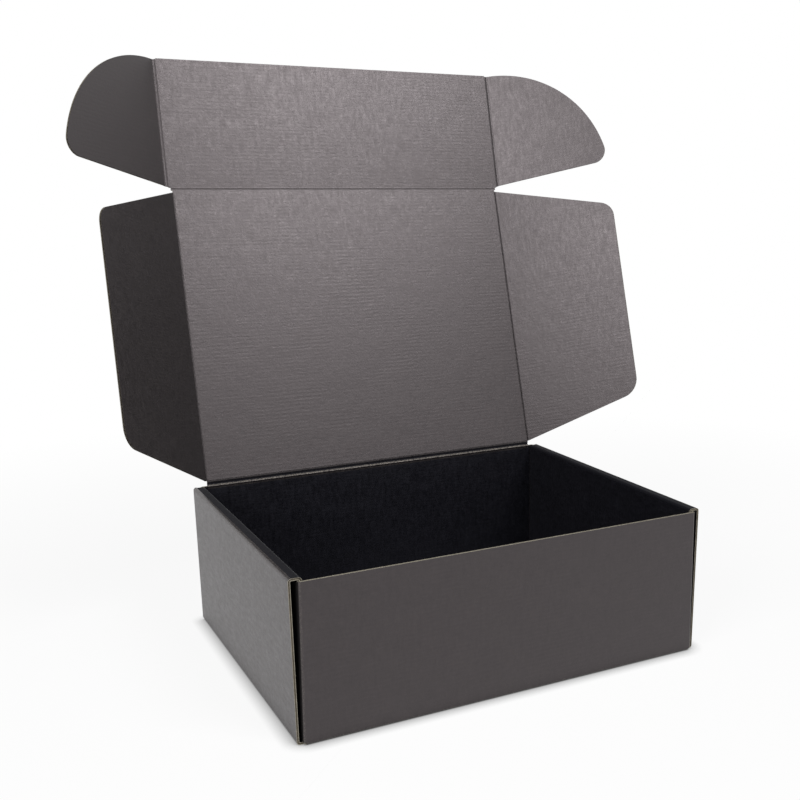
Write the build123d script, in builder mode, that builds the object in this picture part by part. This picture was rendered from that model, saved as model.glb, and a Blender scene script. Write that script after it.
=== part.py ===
from build123d import *
from math import cos, radians, sin, sqrt, tan
import os

# A shipping box folded from one die-cut sheet of thin corrugated board: a tray with rolled side
# walls, and a lid with two side flaps and a front tuck flap that carries an ear at each end.
# Millimetres, +Z up, +X to the right, and the front wall faces -Y. The origin is the middle of
# the tray's underside. The lid stands open, with its flaps part folded.

# Board, and the inner radius of a fold
board = 1.6
fold_inner = 0.8

# Tray
base_width = 321.6
tray_depth = 246.0
side_height = 113.8
front_height = 111.9
side_lean = 1.15
side_setback = 3.4

# Layers of a rolled side wall, from the outer panel inwards
ear_slot = 2.2
layer_gap = 0.2
panel_gap = 0.4

# Corner tabs of the front and back walls, held between the layers of the side walls
tab_length = 92.0
tab_drop = 2.2
tab_taper = 12.0
tab_taper_run = 26.0

# Locking tabs at the foot of the inner side panels, each through a slot in the floor
lock_width = 28.0
lock_spacing = 120.0
lock_recess = 0.2

# Lid panel, and the creases that its flaps turn on
lid_length = 247.2
lid_angle = 16.0
hinge_gap = 0.3
back_bend_gap = 1.9

# Side flaps of the lid
flap_depth = 112.8
flap_angle = 49.4
flap_back_start = 3.0
flap_back_taper = 15.6
flap_front_stop = 3.0
flap_front_taper = 17.4
flap_back_corner = 18.0
flap_front_corner = 14.0
flap_pivot_lift = 0.15

# Tuck flap, closing outside the front wall
tuck_height = 109.4
tuck_angle = 2.7
tuck_root_cut = 3.0
tuck_corner = 1.5

# Ears of the tuck flap, each a quarter disc with a rounded nose
ear_radius = 108.7
ear_angle = 39.0
ear_start = 3.0
ear_taper = 4.9
ear_nose = 12.0
ear_clearance = 0.3

# Worked out from the values above
half_board = board / 2
fold_middle = fold_inner + half_board
fold_outer = fold_inner + board
half_base = base_width / 2
half_depth = tray_depth / 2
front_half = half_base - board - ear_slot
inner_panel_half = front_half - board - layer_gap
inside_half = inner_panel_half - board
wall_y = half_depth - half_board
side_out = (side_height - board) * tan(radians(side_lean))
pivot_clear = half_board + hinge_gap
flap_crease = inside_half - board - layer_gap
ear_crease = front_half + ear_clearance + half_board


def leaned(origin, angle):
    """Plane in the middle of a board that leans back by angle, with Z towards the box's inside."""
    z_dir = (0, -cos(radians(angle)), sin(radians(angle)))
    return Plane(origin=origin, x_dir=(1, 0, 0), z_dir=z_dir)


def folded(plane, angle):
    """The plane turned about its own Y axis, so that its X axis lifts towards the inside."""
    x_dir = plane.x_dir * cos(radians(angle)) + plane.z_dir * sin(radians(angle))
    return Plane(origin=plane.origin, x_dir=x_dir, z_dir=x_dir.cross(plane.y_dir))


lid_plane = leaned((0, wall_y, side_height + pivot_clear), lid_angle)
tuck_plane = leaned(lid_plane.from_local_coords((0, lid_length, 0)), lid_angle - tuck_angle)
flap_pivot = half_board + flap_pivot_lift
flap_hinge = lid_plane.from_local_coords((flap_crease, 0, flap_pivot))
flap_plane = folded(Plane(flap_hinge, x_dir=(1, 0, 0), z_dir=lid_plane.z_dir), flap_angle)
ear_hinge = tuck_plane.from_local_coords((ear_crease, 0, 0))
ear_plane = folded(Plane(ear_hinge, x_dir=(1, 0, 0), z_dir=tuck_plane.z_dir), ear_angle)

with BuildPart() as tray:
    # Rolled side walls: outer panel, bridge and inner panel, in one run of board. They start a
    # little behind the front wall's face, so that the ears can swing past them
    for side in (-1, 1):
        outer_x = side * (half_base - half_board)
        inner_x = side * (inner_panel_half - half_board)
        with BuildSketch(Plane.XZ.offset(-half_depth)):
            with BuildLine():
                FilletPolyline(
                    (0, half_board),
                    (outer_x, half_board),
                    (outer_x + side * side_out, side_height - half_board),
                    (inner_x, side_height - half_board),
                    (inner_x, board + panel_gap),
                    radius=fold_middle,
                )
            trace(line_width=board)
        extrude(amount=tray_depth - side_setback)

    # Room for the front and back walls at the ends of the rolls
    with BuildSketch(Plane.XY.offset(board)):
        with GridLocations(0, tray_depth, 1, 2):
            Rectangle(2 * (front_half + layer_gap), 2 * (board + layer_gap))
    extrude(amount=side_height, mode=Mode.SUBTRACT)

    # Front and back walls, folded up from the floor
    with BuildSketch(Plane.YZ):
        with BuildLine():
            FilletPolyline(
                (-wall_y, front_height),
                (-wall_y, half_board),
                (wall_y, half_board),
                (wall_y, side_height),
                radius=fold_middle,
            )
        trace(line_width=board)
    extrude(amount=front_half - fold_outer, both=True)

    # Corner tabs, folded back from the upright edges of the front and back walls
    for end, height in ((-1, front_height), (1, side_height)):
        tab_foot = board + panel_gap
        tab_top = front_height - tab_drop
        tab_end = end * (half_depth - tab_length)
        fold_end = end * (half_depth - board)
        for side in (-1, 1):
            tab_x = side * (front_half - half_board)
            with BuildSketch(Plane.XY.offset(tab_foot)):
                with BuildLine():
                    FilletPolyline(
                        (side * (front_half - fold_outer - board), end * wall_y),
                        (tab_x, end * wall_y),
                        (tab_x, tab_end),
                        radius=fold_middle,
                    )
                trace(line_width=board)
            extrude(amount=height - tab_foot)
            # The tab stays under the bridge, and its free end tapers to slide in
            with BuildSketch(Plane.YZ.offset(tab_x)):
                Polygon(
                    (fold_end, height),
                    (fold_end, tab_top),
                    (tab_end + end * tab_taper_run, tab_top),
                    (tab_end, tab_top - tab_taper),
                    (tab_end, height),
                    align=None,
                )
                Polygon(
                    (tab_end, tab_foot),
                    (tab_end + end * tab_taper_run, tab_foot),
                    (tab_end, tab_foot + tab_taper),
                    align=None,
                )
            extrude(amount=board, both=True, mode=Mode.SUBTRACT)

    # Slots in the floor, then the locking tabs that stand in them
    slot_spacing = 2 * inner_panel_half - board
    with BuildSketch():
        with GridLocations(slot_spacing, lock_spacing, 2, 2):
            Rectangle(board + 2 * layer_gap, lock_width + 2 * panel_gap)
    extrude(amount=board, mode=Mode.SUBTRACT)
    with BuildSketch(Plane.XY.offset(lock_recess)):
        with GridLocations(slot_spacing, lock_spacing, 2, 2):
            Rectangle(board, lock_width)
    extrude(amount=board + panel_gap)

with BuildPart() as lid_panel:
    # Side view, with a round root that turns on the back wall's top edge
    with BuildSketch(Plane(lid_plane.origin, x_dir=lid_plane.y_dir, z_dir=lid_plane.x_dir)):
        Circle(half_board)
        Rectangle(lid_length - pivot_clear, board, align=(Align.MIN, Align.CENTER))
    extrude(amount=half_base, both=True)
    # End view: the edges slope away from the side flaps, which also bend back a little
    lid_edge = flap_crease - hinge_gap
    with BuildSketch(Plane(lid_plane.origin, x_dir=(1, 0, 0), z_dir=-lid_plane.y_dir)):
        Polygon(
            (-lid_edge, half_board),
            (lid_edge, half_board),
            (lid_edge - back_bend_gap, -half_board),
            (back_bend_gap - lid_edge, -half_board),
            align=None,
        )
    extrude(amount=2 * lid_length, both=True, mode=Mode.INTERSECT)

with BuildPart() as side_flap_right:
    flap_front = lid_length - flap_front_stop
    flap_face = Plane(
        flap_plane.from_local_coords((0, 0, -flap_pivot)),
        x_dir=flap_plane.x_dir,
        z_dir=flap_plane.z_dir,
    )
    with BuildSketch(flap_face) as flap_outline:
        Polygon(
            (0, flap_back_start),
            (flap_depth, flap_back_start + flap_depth * tan(radians(flap_back_taper))),
            (flap_depth, flap_front - flap_depth * tan(radians(flap_front_taper))),
            (0, flap_front),
            align=None,
        )
        outer_corners = flap_outline.vertices().sort_by(Axis.X)[-2:]
        fillet(outer_corners.sort_by(Axis.Y)[0], radius=flap_back_corner)
        fillet(outer_corners.sort_by(Axis.Y)[1], radius=flap_front_corner)
    extrude(amount=half_board, both=True)

with BuildPart() as side_flap_left:
    mirror(side_flap_right.part, about=Plane.YZ)

with BuildPart() as tuck_flap:
    tuck_half = ear_crease - pivot_clear
    with BuildSketch(Plane(tuck_plane.origin, x_dir=tuck_plane.y_dir, z_dir=tuck_plane.x_dir)):
        Circle(half_board)
        Rectangle(tuck_height, board, align=(Align.MIN, Align.CENTER))
    extrude(amount=half_base, both=True)
    with BuildSketch(tuck_plane):
        Polygon(
            (tuck_root_cut - tuck_half, -half_board),
            (tuck_half - tuck_root_cut, -half_board),
            (tuck_half, tuck_root_cut),
            (tuck_half, tuck_height - tuck_corner),
            (tuck_half - tuck_corner, tuck_height),
            (tuck_corner - tuck_half, tuck_height),
            (-tuck_half, tuck_height - tuck_corner),
            (-tuck_half, tuck_root_cut),
            align=None,
        )
    extrude(amount=board, both=True, mode=Mode.INTERSECT)

with BuildPart() as tuck_ear_right:
    # End view, with a round root that turns on the crease
    with BuildSketch(Plane(ear_plane.origin, x_dir=ear_plane.x_dir, z_dir=-ear_plane.y_dir)):
        Circle(half_board)
        Rectangle(ear_radius, board, align=(Align.MIN, Align.CENTER))
    extrude(amount=ear_radius, both=True)
    # Outline: the disc is centred on the lower end of the crease, above a straight lower edge
    slope = tan(radians(ear_taper))
    tip_x = (sqrt(ear_radius**2 * (1 + slope**2) - ear_start**2) - slope * ear_start) / (1 + slope**2)
    tip_y = ear_start + slope * tip_x
    with BuildSketch(ear_plane) as ear_outline:
        with BuildLine():
            Line((-half_board, ear_start), (0, ear_start))
            Line((0, ear_start), (tip_x, tip_y))
            RadiusArc((0, ear_radius), (tip_x, tip_y), ear_radius)
            Line((0, ear_radius), (-half_board, ear_radius))
            Line((-half_board, ear_radius), (-half_board, ear_start))
        make_face()
        fillet(ear_outline.vertices().sort_by(Axis.X)[-1], radius=ear_nose)
    extrude(amount=board, both=True, mode=Mode.INTERSECT)

with BuildPart() as tuck_ear_left:
    mirror(tuck_ear_right.part, about=Plane.YZ)

tray.part.label = "tray"
lid_panel.part.label = "lid_panel"
side_flap_right.part.label = "side_flap_right"
side_flap_left.part.label = "side_flap_left"
tuck_flap.part.label = "tuck_flap"
tuck_ear_right.part.label = "tuck_ear_right"
tuck_ear_left.part.label = "tuck_ear_left"

os.makedirs("parts", exist_ok=True)
export_step(tray.part, "parts/tray.step")
export_step(lid_panel.part, "parts/lid_panel.step")
export_step(side_flap_right.part, "parts/side_flap_right.step")
export_step(side_flap_left.part, "parts/side_flap_left.step")
export_step(tuck_flap.part, "parts/tuck_flap.step")
export_step(tuck_ear_right.part, "parts/tuck_ear_right.step")
export_step(tuck_ear_left.part, "parts/tuck_ear_left.step")
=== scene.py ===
import math

import bpy
from mathutils import Matrix, Vector


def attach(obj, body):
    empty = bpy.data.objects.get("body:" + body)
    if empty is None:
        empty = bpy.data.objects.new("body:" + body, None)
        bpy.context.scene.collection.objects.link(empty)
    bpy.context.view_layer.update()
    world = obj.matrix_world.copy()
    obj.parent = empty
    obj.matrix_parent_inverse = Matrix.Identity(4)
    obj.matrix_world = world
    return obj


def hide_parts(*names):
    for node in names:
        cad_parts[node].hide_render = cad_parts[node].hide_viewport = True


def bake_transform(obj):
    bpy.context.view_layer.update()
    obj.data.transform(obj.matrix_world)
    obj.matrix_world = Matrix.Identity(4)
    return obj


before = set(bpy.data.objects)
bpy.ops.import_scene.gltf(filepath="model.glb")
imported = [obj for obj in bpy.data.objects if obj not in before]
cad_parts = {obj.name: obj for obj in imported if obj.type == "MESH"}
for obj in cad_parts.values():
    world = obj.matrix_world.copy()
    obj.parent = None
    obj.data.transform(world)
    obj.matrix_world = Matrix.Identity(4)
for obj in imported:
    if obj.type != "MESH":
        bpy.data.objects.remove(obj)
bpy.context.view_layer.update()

# All sizes are in millimetres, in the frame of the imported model, and all angles in degrees
MM = 0.001

# The board: its liners, the medium between them, and the folds' radii
HALF_BOARD = 0.8
LINER = 0.22
MEDIUM = 0.2
CUT_INSET = 0.5
FLUTE_PITCH = 3.27
FOLD_MIDDLE = 1.6
FOLD_OUTER = 2.4

# The tray: walls, rolled side walls, corner tabs and locking tabs
HALF_BASE = 160.8
HALF_DEPTH = 123.0
SIDE_HEIGHT = 113.8
FRONT_HEIGHT = 111.9
SIDE_LEAN = 1.15
SIDE_SETBACK = 3.4
FRONT_HALF = 157.0
LAYER_GAP = 0.2
PANEL_GAP = 0.4
CORNER_FOLD = HALF_BOARD - 0.001
CORNER_STRIP = 4.0
TAB_LENGTH = 92.0
TAB_DROP = 2.2
TAB_START = 3.0
LOCK_WIDTH = 28.0
LOCK_SPACING = 120.0
LOCK_RECESS = 0.2

# Limits between which a face of the tray counts as its inside or as the top of a side wall, where shade is
# painted
INSIDE_X = 153.7
INSIDE_Y = 121.5
INSIDE_Z = 1.5
TOP_START_X = 150.0
TOP_END_X = 158.9
TOP_Z = SIDE_HEIGHT - 3.5

# The lid, its side flaps, the tuck flap and its ears
LID_ANGLE = 16.0
LID_LENGTH = 247.2
LID_EDGE = 151.7
FLAP_CREASE = 151.8
FLAP_PIVOT = 0.95
FLAP_ANGLE = 49.4
FLAP_DEPTH = 112.8
FLAP_BACK = 3.0
FLAP_BACK_TAPER = 15.6
FLAP_FRONT = LID_LENGTH - 3.0
FLAP_FRONT_TAPER = 17.4
FLAP_BACK_CORNER = 18.0
FLAP_FRONT_CORNER = 14.0
FLAP_MIDDLE = 120.0
TUCK_ANGLE = 2.7
TUCK_HEIGHT = 109.4
TUCK_EDGE = 154.5
EAR_CREASE = 158.1
EAR_ANGLE = 39.0
EAR_RADIUS = 108.7
EAR_START = 3.0
EAR_TAPER = 4.9
EAR_NOSE = 12.0
EAR_MIDDLE = 55.0
EAR_BACK = 1.0
EAR_LOWER_SLOPE = 0.35

# The lid's hinge line, and how far each creased strip reaches from its crease
WALL_Y = HALF_DEPTH - HALF_BOARD
HINGE_Z = SIDE_HEIGHT + 1.1
HINGE_REACH = 3.4
CREASE_REACH = 1.2
TUCK_FOLD_EDGE = 152.9
SHARP_ANGLE = 32.0

# The camera's azimuth, elevation and roll, its place in metres, and its focal length and the
# picture's centre in pixels
CAMERA_ANGLES = (-29.03, 11.117, 0.105)
CAMERA_PLACE = (-0.36316, -0.76095, 0.35744)
PICTURE = 800
FOCAL_PIXELS = 1104.7
CENTRE_X = 505.0
CENTRE_Y = 400.8
SENSOR = 36.0

# Light from all around, and the floor in metres: the reach of the contact shade painted into its glow,
# and how much of it is lit by the lamps near the box and far from it
WORLD_LIGHT = 0.11
FLOOR_SIZE = 60
CONTACT_SHADE = 0.011
LIT_NEAR, LIT_FAR = 0.35, 0.9
LIT_SHARE = 0.1

# The box's materials, by their place in MATERIALS
PRINT, WORN, BEAD_HIGHLIGHT, INSIDE, TOP, SHADED, KRAFT, CORE, SHADE_EDGE = range(9)


def tan(angle):
    return math.tan(math.radians(angle))


class Place:
    """A board's plane: x and y along it, and z from its middle towards the box's inside."""

    def __init__(self, origin, x_dir, y_dir, z_dir):
        self.origin, self.x, self.y, self.z = origin, x_dir, y_dir, z_dir

    def at(self, x, y, z=0.0):
        return self.origin + self.x * x + self.y * y + self.z * z

    def turned(self, x, z, angle):
        """The plane turned by angle about a line along its Y axis through (x, z)."""
        turn = math.radians(angle)
        x_dir = self.x * math.cos(turn) + self.z * math.sin(turn)
        z_dir = self.z * math.cos(turn) - self.x * math.sin(turn)
        pivot = self.at(x, 0, z)
        return Place(pivot - x_dir * x - z_dir * z, x_dir, self.y, z_dir)

    def mirrored(self):
        flip = Vector((-1, 1, 1))
        return Place(self.origin * flip, self.x * flip, self.y * flip, self.z * flip)


def leaned(origin, angle):
    """A plane that leans back by angle, with Z towards the box's inside."""
    lean = math.radians(angle)
    up = Vector((0, math.sin(lean), math.cos(lean)))
    inside = Vector((0, -math.cos(lean), math.sin(lean)))
    return Place(Vector(origin), Vector((1, 0, 0)), up, inside)


LID = leaned((0, WALL_Y, HINGE_Z), LID_ANGLE)
TUCK = leaned(LID.at(0, LID_LENGTH), LID_ANGLE - TUCK_ANGLE)
FLAP = LID.turned(FLAP_CREASE, FLAP_PIVOT, FLAP_ANGLE)
EAR = TUCK.turned(EAR_CREASE, 0, EAR_ANGLE)


class Board:
    """Collects faces in millimetres, each with a material and flute coordinates."""

    def __init__(self):
        self.points, self.index = [], {}
        self.faces, self.mats, self.uvs, self.flat = [], [], [], []

    def vertex(self, point):
        key = tuple(round(c, 4) for c in point)
        if key not in self.index:
            self.index[key] = len(self.points)
            self.points.append([c * MM for c in point])
        return self.index[key]

    def face(self, points, uvs, mat, flat=False):
        corners, kept = [], []
        for point, uv in zip(points, uvs):
            corner = self.vertex(point)
            if corner not in corners:
                corners.append(corner)
                kept.append((uv[0] * MM, uv[1] * MM))
        if len(corners) > 2:
            self.faces.append(corners)
            self.mats.append(mat)
            self.uvs.append(kept)
            self.flat.append(flat)

    def make(self, name, materials):
        mesh = bpy.data.meshes.new(name)
        mesh.from_pydata(self.points, [], self.faces)
        layer = mesh.uv_layers.new(name="board")
        for polygon, mat, uvs in zip(mesh.polygons, self.mats, self.uvs):
            polygon.material_index = mat
            for loop, uv in zip(polygon.loop_indices, uvs):
                layer.data[loop].uv = uv
        for material in materials:
            mesh.materials.append(material)
        mesh.set_sharp_from_angle(angle=math.radians(SHARP_ANGLE))
        for polygon, flat in zip(mesh.polygons, self.flat):
            polygon.use_smooth = not flat
        piece = bpy.data.objects.new(name, mesh)
        bpy.context.scene.collection.objects.link(piece)
        return piece


def rounded(points, radius, steps=6):
    """The points as a path whose inner corners are arcs; radius is one value, or one for each."""
    radii = radius if isinstance(radius, (list, tuple)) else [radius] * len(points)
    path = [Vector(points[0])]
    for before, corner, after, bend in zip(points, points[1:], points[2:], radii[1:]):
        corner = Vector(corner)
        a = (Vector(before) - corner).normalized()
        b = (Vector(after) - corner).normalized()
        if bend == 0:
            path.append(corner)
            continue
        half = a.angle(b) / 2
        reach = bend / math.tan(half)
        centre = corner + (a + b).normalized() * (bend / math.sin(half))
        start, end = corner + a * reach - centre, corner + b * reach - centre
        sweep = start.angle(end)
        for i in range(steps + 1):
            t = i / steps
            point = (start * math.sin((1 - t) * sweep) + end * math.sin(t * sweep)) / math.sin(sweep)
            path.append(centre + point)
    path.append(Vector(points[-1]))
    return path


def rounded_outline(points, radii, steps=8):
    """A closed outline with an arc at each corner that has a radius."""
    middle = (Vector(points[-1]) + Vector(points[0])) / 2
    path = rounded([middle] + list(points) + [middle], [0] + list(radii) + [0], steps)
    return path[1:-1]


def offset(path, distance):
    """The path moved to its left by distance."""
    moved = []
    for i, point in enumerate(path):
        into = (point - path[i - 1]).normalized() if i else (path[1] - point).normalized()
        out = (path[i + 1] - point).normalized() if i < len(path) - 1 else into
        along = (into + out).normalized()
        side = Vector((-along.y, along.x))
        moved.append(point + side * (distance / max(0.5, along.dot(into))))
    return moved


def lengths(path):
    """The distance along the path to each of its points."""
    run = [0.0]
    for a, b in zip(path, path[1:]):
        run.append(run[-1] + (b - a).length)
    return run


def trimmed(path, cut):
    """The path with its two ends cut back."""
    path = list(path)
    path[0] = path[0] + (path[1] - path[0]).normalized() * cut
    path[-1] = path[-1] + (path[-2] - path[-1]).normalized() * cut
    return path


def inked(mat, straight):
    """The material of one face of a layer: ink is worn where the board folds."""
    return WORN if mat in (PRINT, SHADED) and not straight else mat


def layer(board, left, right, place, low, high, uv, mats):
    """One closed layer between two matching paths, from low to high across them."""
    left_mat, right_mat, cut_mat = mats
    run = lengths(left)
    for i in range(len(left) - 1):
        corners = ((i, low), (i + 1, low), (i + 1, high), (i, high))
        uvs = [uv(run[k], w) for k, w in corners]
        # Straight runs are shaded flat, and only the folds between them smooth
        straight = run[i + 1] - run[i] > 1.0
        left_face = [place(left[k], w) for k, w in reversed(corners)]
        board.face(left_face, uvs[::-1], inked(left_mat, straight), straight)
        right_face = [place(right[k], w) for k, w in corners]
        board.face(right_face, uvs, inked(right_mat, straight), straight)
        for w, turn in ((low, 1), (high, -1)):
            cut = [(left[i], run[i], 0), (left[i + 1], run[i + 1], 0)]
            cut += [(right[i + 1], run[i + 1], 1), (right[i], run[i], 1)]
            cut = cut[::turn]
            board.face([place(p, w) for p, u, v in cut], [(u, v) for p, u, v in cut], cut_mat)
    for k, turn in ((0, 1), (len(left) - 1, -1)):
        cut = [(left[k], low, 0), (right[k], low, 1), (right[k], high, 1), (left[k], high, 0)][::turn]
        board.face([place(p, w) for p, w, v in cut], [(w, v) for p, w, v in cut], cut_mat)


def ribbon(board, path, place, low, high, uv, ink=PRINT):
    """A run of board along a path: two printed liners with the fluting between them."""
    outer, inner = HALF_BOARD, HALF_BOARD - LINER
    layer(board, offset(path, outer), offset(path, inner), place, low, high, uv, (ink, KRAFT, KRAFT))
    layer(board, offset(path, -inner), offset(path, -outer), place, low, high, uv, (KRAFT, ink, KRAFT))
    core = trimmed(path, CUT_INSET)
    low, high = low + CUT_INSET, high - CUT_INSET
    # The fluting is set back between the liners and painted darker than them, as painted shade in its recess
    layer(board, offset(core, inner), offset(core, -inner), place, low, high, uv, (CORE, CORE, CORE))


def flat_face(board, place, corners, mat):
    """A face from (x, y, z) corners on a flat board, with its flute coordinates from x and y."""
    board.face([place.at(*corner) for corner in corners], [corner[:2] for corner in corners], mat)


def panel(board, outline, place):
    """A flat board: two printed liners cut to the outline, with the flutes running along X."""
    for top, bottom, top_mat, bottom_mat in (
        (HALF_BOARD, HALF_BOARD - LINER, PRINT, KRAFT),
        (LINER - HALF_BOARD, -HALF_BOARD, KRAFT, PRINT),
    ):
        flat_face(board, place, [(p.x, p.y, top) for p in outline], top_mat)
        flat_face(board, place, [(p.x, p.y, bottom) for p in reversed(outline)], bottom_mat)
        for a, b in zip(outline, outline[1:] + outline[:1]):
            corners = [(a.x, a.y, bottom), (b.x, b.y, bottom), (b.x, b.y, top), (a.x, a.y, top)]
            # The panels' cut edges are painted near-black, as painted shade
            flat_face(board, place, corners, SHADE_EDGE)
    wave(board, outline, place)


def span(outline, y):
    """The lowest and highest x of an outline at y."""
    hits = []
    for a, b in zip(outline, outline[1:] + outline[:1]):
        if (a.y - y) * (b.y - y) <= 0 and a.y != b.y:
            hits.append(a.x + (b.x - a.x) * (y - a.y) / (b.y - a.y))
    return min(hits), max(hits)


def wave(board, outline, place):
    """The fluted medium of a flat board, seen at its cut ends."""
    low, high = min(p.y for p in outline) + CUT_INSET, max(p.y for p in outline) - CUT_INSET
    steps = int((high - low) / FLUTE_PITCH * 8)
    half = MEDIUM / 2
    rise = HALF_BOARD - LINER - half
    rows = []
    for i in range(steps + 1):
        y = low + (high - low) * i / steps
        start, end = span(outline, y)
        start, end = start + CUT_INSET, max(end - CUT_INSET, start + 2 * CUT_INSET)
        rows.append((start, end, y, rise * math.sin(2 * math.pi * y / FLUTE_PITCH)))

    def point(row, end, lift):
        return (row[end], row[2], row[3] + lift)

    # The medium is painted near-black too, as painted shade
    for a, b in zip(rows, rows[1:]):
        for lift, turn in ((half, 1), (-half, -1)):
            corners = [point(a, 0, lift), point(a, 1, lift), point(b, 1, lift), point(b, 0, lift)]
            flat_face(board, place, corners[::turn], SHADE_EDGE)
        for k, turn in ((0, 1), (1, -1)):
            corners = [point(a, k, -half), point(a, k, half), point(b, k, half), point(b, k, -half)]
            flat_face(board, place, corners[::turn], SHADE_EDGE)
    for row, turn in ((rows[0], 1), (rows[-1], -1)):
        corners = [point(row, 0, -half), point(row, 1, -half), point(row, 1, half), point(row, 0, half)]
        flat_face(board, place, corners[::turn], SHADE_EDGE)


def smooth(t):
    return t * t * (3 - 2 * t)


def bump_at(t, middle, spread):
    """A rounded bump of height 1 at middle."""
    return math.exp(-(((t - middle) / spread) ** 2))


def turned_about(pivot, s, z, turn):
    """The point (s, z) turned about pivot."""
    ds, dz = s - pivot[0], z - pivot[1]
    return (
        pivot[0] + ds * math.cos(turn) - dz * math.sin(turn),
        pivot[1] + ds * math.sin(turn) + dz * math.cos(turn),
    )


def crease(board, at, start, end, pivot, angle, low, high, uv, groove=0.35, ridge=0.12, bead=0.0, steps=18):
    """A creased strip from start to end across the fold, turned by angle about pivot.

    at gives the place of (across, along, z) on the first board, and low and high give the ends of
    the strip along the crease at each distance across it. The inside has a groove and the outside
    a ridge, and bead is the height of a raised line beside the groove. Where there is a bead, it is
    painted light as a painted highlight, and the groove dark as painted shade. t runs from 0 to 1
    across the strip, with the crease at 0.5."""
    rows = []
    for i in range(steps + 1):
        t = i / steps
        s = start + (end - start) * t
        spread = (0.25 if t > 0.5 else 0.1) if bead else 0.12
        dent = bump_at(t, 0.5, spread)
        raised = bead * bump_at(t, 0.36, 0.09)
        shoulder = 0.06 * (bump_at(t, 0.26, 0.09) + bump_at(t, 0.74, 0.09))
        fade = min(1.0, 6 * t, 6 * (1 - t))
        turn = math.radians(angle) * smooth(t)
        inside = turned_about(pivot, s, HALF_BOARD + (raised - groove * dent + shoulder) * fade, turn)
        outside = turned_about(pivot, s, -HALF_BOARD - ridge * dent * fade, turn)
        # The bead is painted light with bare board as a painted highlight, and the groove behind it dark as
        # painted shade
        ink = PRINT
        if bead:
            ink = BEAD_HIGHLIGHT if raised > 0.35 * bead else INSIDE if t > 0.45 and dent > 0.3 else PRINT
        rows.append((s, (inside, outside), ink))
    for (s0, a, ink), (s1, b, _) in zip(rows, rows[1:]):
        for k, mat, turn in ((0, ink, 1), (1, WORN, -1)):
            corners = [(a[k], s0, low(s0)), (b[k], s1, low(s1)), (b[k], s1, high(s1)), (a[k], s0, high(s0))]
            corners = corners[::turn]
            board.face([at(p[0], w, p[1]) for p, s, w in corners], [uv(s, w) for p, s, w in corners], mat)
        for end_at, turn in ((low, 1), (high, -1)):
            corners = [(a[1], end_at(s0)), (b[1], end_at(s1)), (b[0], end_at(s1)), (a[0], end_at(s0))][::turn]
            # The strip's cut ends are painted near-black, as painted shade
            board.face([at(p[0], w, p[1]) for p, w in corners], [p for p, w in corners], SHADE_EDGE)
    for (s, row, _), turn in ((rows[0], 1), (rows[-1], -1)):
        corners = [(row[0], low(s)), (row[0], high(s)), (row[1], high(s)), (row[1], low(s))][::turn]
        board.face([at(p[0], w, p[1]) for p, w in corners], [p for p, w in corners], KRAFT)


def node_tree(name):
    material = bpy.data.materials.new(name)
    material.use_nodes = True
    tree = material.node_tree
    return material, tree, tree.nodes["Principled BSDF"]


def link(tree, start, end):
    tree.links.new(start, end)


def noise(tree, coordinate, scale, detail=4.0, roughness=0.55, stretch=None):
    """Noise at a number of blotches a metre."""
    node = tree.nodes.new("ShaderNodeTexNoise")
    node.inputs["Scale"].default_value = scale
    node.inputs["Detail"].default_value = detail
    node.inputs["Roughness"].default_value = roughness
    if stretch:
        mapping = tree.nodes.new("ShaderNodeMapping")
        mapping.inputs["Scale"].default_value = stretch
        link(tree, coordinate, mapping.inputs["Vector"])
        coordinate = mapping.outputs["Vector"]
    link(tree, coordinate, node.inputs["Vector"])
    return node.outputs["Fac"]


def ramp(tree, factor, stops):
    node = tree.nodes.new("ShaderNodeValToRGB")
    elements = node.color_ramp.elements
    for element, (position, colour) in zip(elements, (stops[0], stops[-1])):
        element.position, element.color = position, (*colour, 1)
    for position, colour in stops[1:-1]:
        element = elements.new(position)
        element.color = (*colour, 1)
    link(tree, factor, node.inputs["Fac"])
    return node.outputs["Color"]


def maths(tree, operation, a, b=None):
    node = tree.nodes.new("ShaderNodeMath")
    node.operation = operation
    for value, socket in zip((a, b), node.inputs):
        if value is None:
            continue
        if isinstance(value, (int, float)):
            socket.default_value = value
        else:
            link(tree, value, socket)
    return node.outputs["Value"]


def mix(tree, factor, a, b, mode="MIX"):
    node = tree.nodes.new("ShaderNodeMix")
    node.data_type, node.blend_type = "RGBA", mode
    for value, socket in ((factor, node.inputs[0]), (a, node.inputs[6]), (b, node.inputs[7])):
        if isinstance(value, (int, float)):
            socket.default_value = value
        elif isinstance(value, tuple):
            socket.default_value = (*value, 1)
        else:
            link(tree, value, socket)
    return node.outputs[2]


def bumps(tree, shader, heights):
    """Bump nodes one after the other, from (height, strength, distance) of each."""
    normal = None
    for height, strength, distance in heights:
        bump = tree.nodes.new("ShaderNodeBump")
        bump.inputs["Strength"].default_value = strength
        bump.inputs["Distance"].default_value = distance
        link(tree, height, bump.inputs["Height"])
        if normal:
            link(tree, normal, bump.inputs["Normal"])
        normal = bump.outputs["Normal"]
    link(tree, normal, shader.inputs["Normal"])


def add_up(tree, base, *parts):
    """base plus each part times its share."""
    total = base
    for value, share in parts:
        scaled = maths(tree, "MULTIPLY", value, share)
        total = maths(tree, "ADD", scaled, total)
    return total


def object_place(tree):
    """The object's own coordinates, in metres."""
    return tree.nodes.new("ShaderNodeTexCoord").outputs["Object"]


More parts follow.
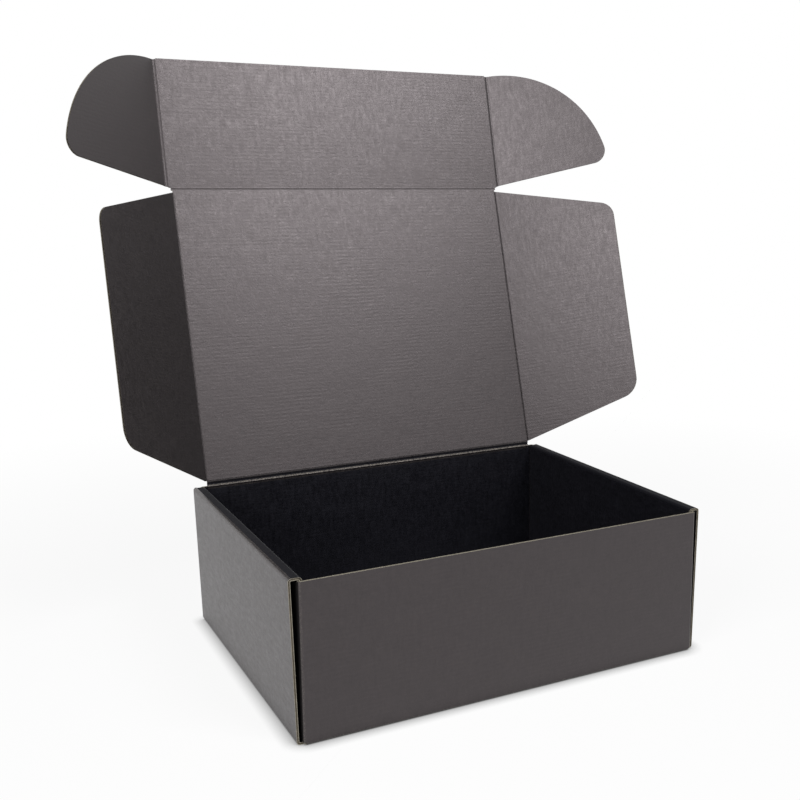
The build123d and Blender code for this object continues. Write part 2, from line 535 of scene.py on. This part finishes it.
def flute_lines(tree, flat, solid, fibre):
    """The ridges that the flutes press through the liner, wavering and fading in and out."""
    apart = tree.nodes.new("ShaderNodeSeparateXYZ")
    link(tree, flat, apart.inputs["Vector"])
    place = add_up(tree, apart.outputs["Y"], (noise(tree, solid, 60.0, 2.0), 0.0014))
    turns = maths(tree, "MULTIPLY", place, 2 * math.pi / (FLUTE_PITCH * MM))
    patch = tree.nodes.new("ShaderNodeMapRange")
    patch.inputs["From Min"].default_value, patch.inputs["From Max"].default_value = 0.38, 0.68
    link(tree, noise(tree, solid, 22.0, 4.0, 0.6), patch.inputs["Value"])
    broken = maths(tree, "MULTIPLY", patch.outputs["Result"], maths(tree, "MULTIPLY", fibre, 1.6))
    return maths(tree, "MULTIPLY", maths(tree, "SINE", turns), maths(tree, "ADD", broken, 0.15))


def make_print(name, wear_and_highlight=0.0, ink=(1.0, 1.0, 1.0), gloss=0.72, glint=(1.0, 0.9, 0.925), matt=0.0):
    """Satin black ink over brown board: faint broken flute lines, fibres and cloudy patches.

    Its wear sets how much of the board shows bare in specks: real wear along a fold, and a painted
    highlight on the hinge's bead. ink tints its colour, and its darker, bluer tint is painted shade;
    gloss and glint are the level and the tint of its reflections, and matt roughens them."""
    material, tree, shader = node_tree(name)
    uv_map = tree.nodes.new("ShaderNodeUVMap")
    uv_map.uv_map = "board"
    flat, solid = uv_map.outputs["UV"], object_place(tree)
    cloud = noise(tree, solid, 55.0, 7.0, 0.68)
    speck = noise(tree, solid, 480.0, 5.0, 0.75)
    fibre = noise(tree, flat, 620.0, 4.0, 0.7, (0.22, 1.0, 1.0))
    streak = noise(tree, flat, 330.0, 4.0, 0.7, (1.0, 0.3, 1.0))
    lines = flute_lines(tree, flat, solid, fibre)
    grain = add_up(tree, maths(tree, "MULTIPLY", speck, 0.5), (fibre, 0.5))

    def shade(*colour):
        return tuple(c * k for c, k in zip(colour, ink))

    patches = (
        (0.3, shade(0.0082, 0.0068, 0.0073)),
        (0.52, shade(0.0105, 0.0089, 0.0093)),
        (0.75, shade(0.016, 0.0134, 0.0132)),
    )
    flecks = ((0.35, shade(0.0045, 0.0038, 0.004)), (0.65, shade(0.021, 0.0176, 0.0172)))
    base = mix(tree, 0.5, ramp(tree, cloud, patches), ramp(tree, grain, flecks))
    base = mix(tree, 1.0, base, add_up(tree, 0.25, (streak, 1.5)), "MULTIPLY")
    base = mix(tree, 1.0, base, add_up(tree, 1.0, (lines, 0.12)), "MULTIPLY")
    # Specks of bare board: real wear along folds, and a painted highlight on the hinge's bead
    if wear_and_highlight:
        start = 0.6 - 0.16 * wear_and_highlight
        bare_specks = noise(tree, solid, 1700.0, 3.0, 0.7)
        bare_specks = ramp(tree, bare_specks, ((start, (0, 0, 0)), (start + 0.12, (wear_and_highlight, wear_and_highlight, wear_and_highlight))))
        base = mix(tree, bare_specks, base, BARE_BOARD)
    link(tree, base, shader.inputs["Base Color"])

    uneven = add_up(tree, 0.035 + matt, (grain, 0.32), (cloud, 0.1), (streak, 0.3))
    link(tree, uneven, shader.inputs["Roughness"])
    shader.inputs["Specular IOR Level"].default_value = gloss
    shader.inputs["Specular Tint"].default_value = (*glint, 1)
    shader.inputs["Sheen Weight"].default_value = 0.12
    shader.inputs["Sheen Roughness"].default_value = 0.35
    bumps(tree, shader, ((lines, 0.34, 0.000035), (cloud, 0.3, 0.0007), (grain, 0.5, 0.0003)))
    return material


def make_kraft(name, dark, light):
    """Bare brown board at a cut edge, and darker copies of it that paint shade on the fluting and the cut
    edges.
    """
    material, tree, shader = node_tree(name)
    grain = noise(tree, object_place(tree), 700.0, 4.0)
    link(tree, ramp(tree, grain, ((0.3, dark), (0.7, light))), shader.inputs["Base Color"])
    shader.inputs["Roughness"].default_value = 0.85
    shader.inputs["Specular IOR Level"].default_value = 0.25
    bumps(tree, shader, ((grain, 0.3, 0.0001),))
    return material


def make_shaded(name):
    """Painted shade: a near-black matt colour for the tabs deep between the layers of the side walls."""
    material, tree, shader = node_tree(name)
    grain = noise(tree, object_place(tree), 480.0, 5.0, 0.75)
    stops = ((0.3, (0.003, 0.0026, 0.0028)), (0.7, (0.007, 0.006, 0.0062)))
    link(tree, ramp(tree, grain, stops), shader.inputs["Base Color"])
    shader.inputs["Roughness"].default_value = 0.75
    shader.inputs["Specular IOR Level"].default_value = 0.2
    return material


BARE_BOARD = (0.3, 0.275, 0.235)
# A darker, bluer tint and a tint for its reflections: they paint shade inside the tray, on the tops of its
# side walls and in the hinge's groove
INSIDE_SHADE_TINT = (0.36, 0.42, 0.62)
INSIDE_GLINT = (0.9, 0.9, 1.0)
MATERIALS = [
    make_print("board_print"),
    make_print("board_fold", wear_and_highlight=0.35),
    # Painted highlight: bare board on the hinge's raised bead
    make_print("board_bead_highlight", wear_and_highlight=0.9),
    # Painted shade: the tray's inside and the tops of its side walls, darker and bluer than the print
    make_print("board_inside_shade", ink=INSIDE_SHADE_TINT, gloss=0.36, glint=INSIDE_GLINT),
    make_print("board_top_shade", ink=INSIDE_SHADE_TINT, gloss=0.1, glint=INSIDE_GLINT, matt=0.55),
    make_shaded("board_tab_shade"),
    make_kraft("board_kraft", (0.27, 0.245, 0.195), (0.4, 0.37, 0.3)),
    # Painted shade: dark brown for the recessed fluting
    make_kraft("board_core_shade", (0.075, 0.064, 0.048), (0.14, 0.12, 0.092)),
    # Painted shade: near-black board for the cut edges of the panels and creases
    make_kraft("board_edge_shade", (0.035, 0.03, 0.026), (0.075, 0.062, 0.05)),
]


def side_view(point, w):
    """The place of a point (y, z) of the side view, at x = w."""
    return Vector((w, point.x, point.y))


def along_uv(run, w):
    """Flute coordinates of a board whose flutes run across its path."""
    return (w, run)


def across_uv(run, w):
    """Flute coordinates of a board whose flutes run along its path."""
    return (run, w)


def paint_inside_shade(board):
    """Paint shade on the faces that look into the box, and on the tops of the side walls, in a darker, bluer
    colour.
    """
    for i, corners in enumerate(board.faces):
        x, y, z = (sum(board.points[c][k] for c in corners) / len(corners) / MM for k in range(3))
        within = abs(x) < INSIDE_X and abs(y) < INSIDE_Y and INSIDE_Z < z < FRONT_HEIGHT
        top = TOP_START_X < abs(x) < TOP_END_X and z > TOP_Z
        if board.mats[i] == PRINT and within:
            board.mats[i] = INSIDE
        elif board.mats[i] in (PRINT, WORN) and top:
            board.mats[i] = TOP


def tray_board():
    board = Board()
    side_out = (SIDE_HEIGHT - 2 * HALF_BOARD) * tan(SIDE_LEAN)
    outer_x = HALF_BASE - HALF_BOARD
    inner_x = FRONT_HALF - 2 * HALF_BOARD - LAYER_GAP - HALF_BOARD
    slot_low, slot_high = inner_x - HALF_BOARD - LAYER_GAP, inner_x + HALF_BOARD + LAYER_GAP
    wall_end = FRONT_HALF - 2 * HALF_BOARD
    tab_x = FRONT_HALF - HALF_BOARD
    foot = 2 * HALF_BOARD + PANEL_GAP
    hinge_low = HINGE_Z - HINGE_REACH
    room = HALF_DEPTH - 2 * HALF_BOARD - LAYER_GAP
    strip = HALF_DEPTH - CORNER_STRIP

    def wrap(points, low, high):
        ribbon(board, rounded(points, FOLD_MIDDLE), side_view, low, high, along_uv)

    # Front wall, floor and back wall, with the narrow strips beside the floor's slots
    front = [(-WALL_Y, FRONT_HEIGHT), (-WALL_Y, HALF_BOARD)]
    wrap(front + [(WALL_Y, HALF_BOARD), (WALL_Y, hinge_low)], -slot_low, slot_low)
    for low, high in ((-wall_end, -slot_low), (slot_low, wall_end)):
        wrap(front + [(-strip, HALF_BOARD)], low, high)
        wrap([(strip, HALF_BOARD), (WALL_Y, HALF_BOARD), (WALL_Y, SIDE_HEIGHT)], low, high)
    for low, high in ((-slot_low, -LID_EDGE), (LID_EDGE, slot_low)):
        wrap([(WALL_Y, hinge_low), (WALL_Y, SIDE_HEIGHT)], low, high)

    for side in (-1, 1):
        # Rolled side wall: outer panel and bridge, then the inner panel behind them
        def end_view(point, w, side=side):
            return Vector((side * point.x, w, point.y))

        corners = [
            (slot_high, HALF_BOARD),
            (outer_x, HALF_BOARD),
            (outer_x + side_out, SIDE_HEIGHT - HALF_BOARD),
            (inner_x, SIDE_HEIGHT - HALF_BOARD),
            (inner_x, foot),
        ]
        roll = rounded(corners, FOLD_MIDDLE)
        ribbon(board, roll, end_view, SIDE_SETBACK - HALF_DEPTH, room, across_uv)
        outer = [p for p in roll if p.x > tab_x + 1.0]
        ribbon(board, outer, end_view, room, HALF_DEPTH, across_uv)

        # Floor between the slots, and the locking tabs that stand in them
        half_lock = LOCK_WIDTH / 2
        half_slot = half_lock + PANEL_GAP
        lock = [Vector((inner_x, foot)), Vector((inner_x, LOCK_RECESS))]
        edges = [-strip]
        for y in (-LOCK_SPACING / 2, LOCK_SPACING / 2):
            edges += [y - half_slot, y + half_slot]
            ribbon(board, lock, end_view, y - half_lock, y + half_lock, across_uv)
        edges.append(strip)
        sill = [Vector((slot_low, HALF_BOARD)), Vector((slot_high, HALF_BOARD))]
        for low, high in zip(edges[::2], edges[1::2]):
            ribbon(board, sill, end_view, low, high, across_uv)

        # Corner tabs, folded back between the layers of the side wall
        tab_start = HALF_DEPTH - FOLD_OUTER - TAB_START
        corner = rounded([(wall_end, WALL_Y), (tab_x, WALL_Y), (tab_x, tab_start)], CORNER_FOLD)
        tab = [Vector((tab_x, tab_start)), Vector((tab_x, HALF_DEPTH - TAB_LENGTH))]
        for end, height in ((-1, FRONT_HEIGHT), (1, SIDE_HEIGHT)):
            def plan_view(point, w, side=side, end=end):
                return Vector((side * point.x, end * point.y, w))

            # The corner tabs are painted near-black, as painted shade in the slot between the wall's layers
            ribbon(board, corner, plan_view, foot, height, across_uv, SHADED)
            ribbon(board, tab, plan_view, foot, FRONT_HEIGHT - TAB_DROP, across_uv, SHADED)

    # Painted shade inside the tray and on the tops of its side walls
    paint_inside_shade(board)
    return board


def flap_outline():
    reach = CREASE_REACH
    points = [
        (reach, FLAP_BACK + reach * tan(FLAP_BACK_TAPER)),
        (FLAP_DEPTH, FLAP_BACK + FLAP_DEPTH * tan(FLAP_BACK_TAPER)),
        (FLAP_DEPTH, FLAP_FRONT - FLAP_DEPTH * tan(FLAP_FRONT_TAPER)),
        (reach, FLAP_FRONT - reach * tan(FLAP_FRONT_TAPER)),
    ]
    outline = rounded_outline(points, (0, FLAP_BACK_CORNER, FLAP_FRONT_CORNER, 0))
    return [Vector((p.x + FLAP_CREASE, p.y)) for p in outline]


def arc(centre, radius, start, end, steps):
    """Points on an arc, from start to end in radians."""
    points = []
    for i in range(steps + 1):
        a = start + (end - start) * i / steps
        points.append(centre + Vector((math.cos(a), math.sin(a))) * radius)
    return points


def ear_outline():
    """A quarter-round ear about the crease's lower end, with a small nose at its lower corner."""
    slope = tan(EAR_TAPER)
    along = Vector((1, slope)).normalized()
    normal = Vector((-slope, 1)).normalized()
    # The nose touches the straight lower edge and the big arc from the inside
    foot = Vector((0, EAR_START)) + normal * EAR_NOSE
    b = foot.dot(along)
    centre = foot + along * (math.sqrt(b * b - foot.dot(foot) + (EAR_RADIUS - EAR_NOSE) ** 2) - b)
    nose_start = math.atan2(-normal.y, -normal.x)
    nose_end = math.atan2(centre.y, centre.x)
    last = math.acos(CREASE_REACH / EAR_RADIUS)
    outline = [Vector((CREASE_REACH, EAR_START + slope * CREASE_REACH))]
    outline += arc(centre, EAR_NOSE, nose_start, nose_end, 12)
    outline += arc(Vector((0, 0)), EAR_RADIUS, nose_end, last, 40)[1:]
    return [Vector((p.x + EAR_CREASE - (EAR_BACK if p.x > 10 else 0.0), p.y)) for p in outline]


def add_piece(board, name, *nodes):
    piece = board.make(name, MATERIALS)
    if nodes:
        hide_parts(*nodes)
    return piece


def rigid(board, name, node):
    """A board that moves with one body, in place of that body's node."""
    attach(add_piece(board, name, node), node)


def bent(board, name, start, end):
    """A strip bent into its rest shape between two bodies, added where it stands and attached to neither;
    start and end are not used.
    """
    piece = add_piece(board, name)
    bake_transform(piece)


def add_lid():
    """Lid panel, with short full-width ends beyond its flaps."""
    board = Board()
    inner_edge = FLAP_CREASE - CREASE_REACH
    right_side = [
        (LID_EDGE, HINGE_REACH),
        (LID_EDGE, FLAP_BACK),
        (inner_edge, FLAP_BACK),
        (inner_edge, FLAP_FRONT),
        (LID_EDGE, FLAP_FRONT),
        (LID_EDGE, LID_LENGTH - CREASE_REACH),
    ]
    left_side = [(-x, y) for x, y in reversed(right_side)]
    panel(board, [Vector(p) for p in right_side + left_side], LID)
    rigid(board, "lid_board", "lid_panel")


def add_tuck():
    """The tuck flap."""
    board = Board()
    corners = [(-TUCK_EDGE, CREASE_REACH), (TUCK_EDGE, CREASE_REACH)]
    corners += [(TUCK_EDGE, TUCK_HEIGHT), (-TUCK_EDGE, TUCK_HEIGHT)]
    panel(board, [Vector(p) for p in corners], TUCK)
    rigid(board, "tuck_board", "tuck_flap")


def add_hinge():
    """The worn strip from the back wall's top edge to the lid."""
    board = Board()
    wall = leaned((0, WALL_Y, HINGE_Z), 0)
    crease(
        board,
        lambda s, w, z: wall.at(w, s, z),
        -HINGE_REACH,
        HINGE_REACH,
        (0.0, 0.0),
        -LID_ANGLE,
        lambda s: -LID_EDGE,
        lambda s: LID_EDGE,
        along_uv,
        groove=1.2,
        ridge=0.7,
        bead=0.75,
        steps=30,
    )
    bent(board, "lid_crease", wall.at(0, -HINGE_REACH), LID.at(0, HINGE_REACH))


def add_tuck_crease():
    """The fold between the lid and the tuck flap."""
    board = Board()
    crease(
        board,
        lambda s, w, z: LID.at(w, LID_LENGTH + s, z),
        -CREASE_REACH,
        CREASE_REACH,
        (0.0, 0.0),
        TUCK_ANGLE,
        lambda s: -TUCK_FOLD_EDGE,
        lambda s: TUCK_FOLD_EDGE,
        lambda s, w: (w, LID_LENGTH + s),
        groove=0.16,
    )
    start, end = LID.at(0, LID_LENGTH - CREASE_REACH), TUCK.at(0, CREASE_REACH)
    bent(board, "tuck_crease", start, end)


def add_side_flap(side, lid_place, flap_place):
    """One side flap and its fold."""
    node = f"side_flap_{side}"
    board = Board()
    panel(board, flap_outline(), flap_place)
    rigid(board, f"{node}_board", node)

    board = Board()
    crease(
        board,
        lambda s, w, z: lid_place.at(FLAP_CREASE + s, w, z),
        -CREASE_REACH,
        CREASE_REACH,
        (0.0, FLAP_PIVOT),
        FLAP_ANGLE,
        lambda s: FLAP_BACK + max(0, s) * tan(FLAP_BACK_TAPER),
        lambda s: FLAP_FRONT - max(0, s) * tan(FLAP_FRONT_TAPER),
        lambda s, w: (FLAP_CREASE + s, w),
    )
    start = lid_place.at(FLAP_CREASE - CREASE_REACH, FLAP_MIDDLE)
    end = flap_place.at(FLAP_CREASE + CREASE_REACH, FLAP_MIDDLE)
    bent(board, f"{node}_crease", start, end)


def add_ear(side, tuck_place, ear_place):
    """One ear and its fold."""
    node = f"tuck_ear_{side}"
    board = Board()
    panel(board, ear_outline(), ear_place)
    rigid(board, f"{node}_board", node)

    board = Board()
    crease(
        board,
        lambda s, w, z: tuck_place.at(EAR_CREASE + s, w, z),
        TUCK_EDGE - EAR_CREASE,
        CREASE_REACH,
        (0.0, 0.0),
        EAR_ANGLE,
        lambda s: EAR_START + s * (tan(EAR_TAPER) if s > 0 else EAR_LOWER_SLOPE),
        lambda s: EAR_RADIUS,
        lambda s, w: (EAR_CREASE + s, w),
        groove=0.2,
    )
    start = tuck_place.at(TUCK_EDGE, EAR_MIDDLE)
    end = ear_place.at(EAR_CREASE + CREASE_REACH, EAR_MIDDLE)
    bent(board, f"{node}_crease", start, end)


rigid(tray_board(), "tray_board", "tray")
add_lid()
add_tuck()
add_hinge()
add_tuck_crease()
add_side_flap("right", LID, FLAP)
add_ear("right", TUCK, EAR)
add_side_flap("left", LID.mirrored(), FLAP.mirrored())
add_ear("left", TUCK.mirrored(), EAR.mirrored())


def make_camera():
    """The photograph's camera, fitted to the corners of the box."""
    azimuth, elevation, roll = (math.radians(angle) for angle in CAMERA_ANGLES)
    level = Vector((-math.sin(azimuth), math.cos(azimuth), 0))
    ahead = level * math.cos(elevation) - Vector((0, 0, math.sin(elevation)))
    right = Vector((math.cos(azimuth), math.sin(azimuth), 0))
    up = right.cross(ahead)
    right_rolled = right * math.cos(roll) + up * math.sin(roll)
    up_rolled = up * math.cos(roll) - right * math.sin(roll)
    camera = bpy.data.objects.new("camera", bpy.data.cameras.new("camera"))
    bpy.context.scene.collection.objects.link(camera)
    axes = Matrix((right_rolled, up_rolled, -ahead)).transposed().to_4x4()
    camera.matrix_world = Matrix.Translation(Vector(CAMERA_PLACE)) @ axes
    camera.data.sensor_width = SENSOR
    camera.data.lens = SENSOR * FOCAL_PIXELS / PICTURE
    camera.data.shift_x = (PICTURE / 2 - CENTRE_X) / PICTURE
    camera.data.shift_y = (CENTRE_Y - PICTURE / 2) / PICTURE
    camera.data.clip_start, camera.data.clip_end = 0.01, 50
    bpy.context.scene.camera = camera


make_camera()


def area_light(name, position, target, size, power):
    data = bpy.data.lights.new(name, "AREA")
    data.shape, data.size, data.energy = "SQUARE", size, power
    lamp = bpy.data.objects.new(name, data)
    bpy.context.scene.collection.objects.link(lamp)
    lamp.location = position
    lamp.rotation_mode = "QUATERNION"
    lamp.rotation_quaternion = (Vector(target) - Vector(position)).to_track_quat("-Z", "Y")


# Two large softboxes, in front of the box to the right and to the left
area_light("softbox_right", (0.72, -1.5, 1.8), (0, 0.1, 0.28), 1.0, 33.5)
area_light("softbox_left", (-1.72, -0.9, 1.28), (0, 0.05, 0.25), 1.1, 33)


def seen_rays(tree):
    """1 for rays that the camera, a reflection or a clear surface sends, 0 for the rest."""
    path = tree.nodes.new("ShaderNodeLightPath")
    seen = maths(tree, "ADD", path.outputs["Is Camera Ray"], path.outputs["Is Glossy Ray"])
    seen = maths(tree, "ADD", seen, path.outputs["Is Transmission Ray"])
    return maths(tree, "MINIMUM", seen, 1.0)


def mixed(tree, factor, first, second):
    """The first shader where factor is 0, and the second where it is 1."""
    node = tree.nodes.new("ShaderNodeMixShader")
    for value, socket in zip((factor, first, second), node.inputs):
        link(tree, value, socket)
    return node.outputs["Shader"]


def choose(tree, factor, first, second, out):
    """Sends one of two shaders to the output."""
    link(tree, mixed(tree, factor, first, second), out.inputs["Surface"])


def make_world():
    """White where it is seen or reflected, and a faint even light elsewhere."""
    world = bpy.data.worlds.new("world")
    world.use_nodes = True
    bpy.context.scene.world = world
    tree = world.node_tree
    tree.nodes.clear()
    out = tree.nodes.new("ShaderNodeOutputWorld")
    seen = tree.nodes.new("ShaderNodeBackground")
    light = tree.nodes.new("ShaderNodeBackground")
    for node, strength in ((seen, 1.0), (light, WORLD_LIGHT)):
        node.inputs["Color"].default_value = (1, 1, 1, 1)
        node.inputs["Strength"].default_value = strength
    choose(tree, seen_rays(tree), light.outputs["Background"], seen.outputs["Background"], out)


make_world()


def make_floor():
    """A white floor, mostly glow with contact shade painted into it by ambient occlusion, and partly lit near
    the box, where it keeps the box's shadow.
    """
    bpy.ops.mesh.primitive_plane_add(size=FLOOR_SIZE, location=(0, 0, 0))
    floor = bpy.context.object
    floor.name = "floor"
    material, tree, shader = node_tree("floor")
    shader.inputs["Base Color"].default_value = (0.9, 0.9, 0.9, 1)
    shader.inputs["Roughness"].default_value = 0.9
    shader.inputs["Specular IOR Level"].default_value = 0.0
    # Ambient occlusion darkens the glow near the box: painted contact shade
    contact = tree.nodes.new("ShaderNodeAmbientOcclusion")
    contact.inputs["Distance"].default_value = CONTACT_SHADE
    contact.samples = 16
    away = tree.nodes.new("ShaderNodeVectorMath")
    away.operation = "LENGTH"
    link(tree, object_place(tree), away.inputs[0])
    share = tree.nodes.new("ShaderNodeMapRange")
    share.inputs["From Min"].default_value, share.inputs["From Max"].default_value = LIT_NEAR, LIT_FAR
    share.inputs["To Min"].default_value, share.inputs["To Max"].default_value = LIT_SHARE, 0.0
    link(tree, away.outputs["Value"], share.inputs["Value"])
    glow = tree.nodes.new("ShaderNodeEmission")
    link(tree, contact.outputs["AO"], glow.inputs["Strength"])
    plain = shader.outputs["BSDF"]
    lit = mixed(tree, share.outputs["Result"], glow.outputs["Emission"], plain)
    choose(tree, seen_rays(tree), plain, lit, tree.nodes["Material Output"])
    floor.data.materials.append(material)


make_floor()

bpy.context.scene.view_settings.view_transform = "Standard"
